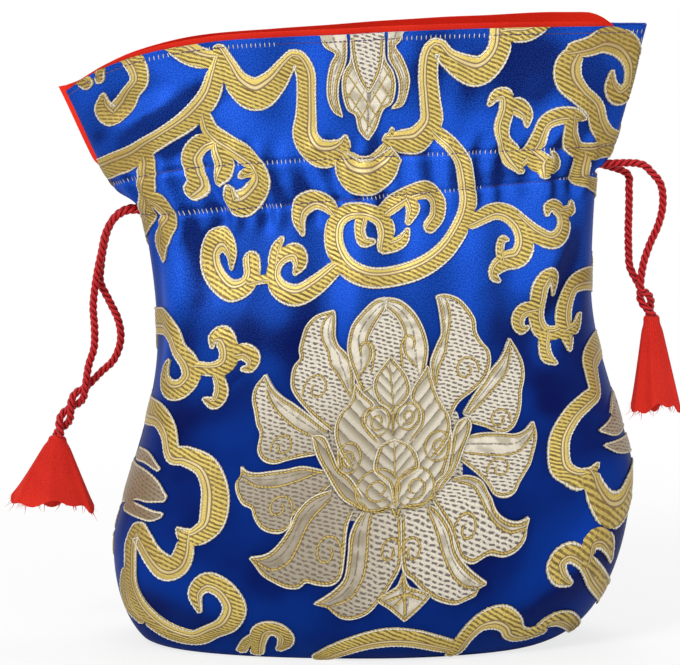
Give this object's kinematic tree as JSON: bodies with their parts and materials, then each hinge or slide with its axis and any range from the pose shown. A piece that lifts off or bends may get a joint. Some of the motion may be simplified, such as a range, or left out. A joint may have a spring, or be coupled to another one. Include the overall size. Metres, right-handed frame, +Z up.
{
  "type": "brocade drawstring bag",
  "caption": "Small lined drawstring bag of blue satin brocade with gold scrolls, a silver lotus, an open flared mouth, and twisted cords with tassels at both sides.",
  "frame": {"origin": "centre of the oval base, on the surface the bag stands on", "axes": "+Z up from the base to the mouth, -Y towards the viewer of the front panel, +X to that viewer's right"},
  "size_m": [0.1678, 0.0618, 0.1553],
  "materials": {
    "outer_brocade": "blue satin woven with gold and silver",
    "lining": "plain red lining cloth",
    "cord": "red satin cord",
    "tassel_cloth": "folded red cloth"
  },
  "bodies": {
    "root": {"front_panel": "outer_brocade", "back_panel": "outer_brocade", "base_panel": "outer_brocade", "front_lining": "lining", "back_lining": "lining", "base_lining": "lining", "left_drawstring": "cord", "right_drawstring": "cord", "left_cord_front": "cord", "left_cord_back": "cord", "right_cord_front": "cord", "right_cord_back": "cord", "left_tassel": "tassel_cloth", "right_tassel": "tassel_cloth"}
  },
  "joints": []
}
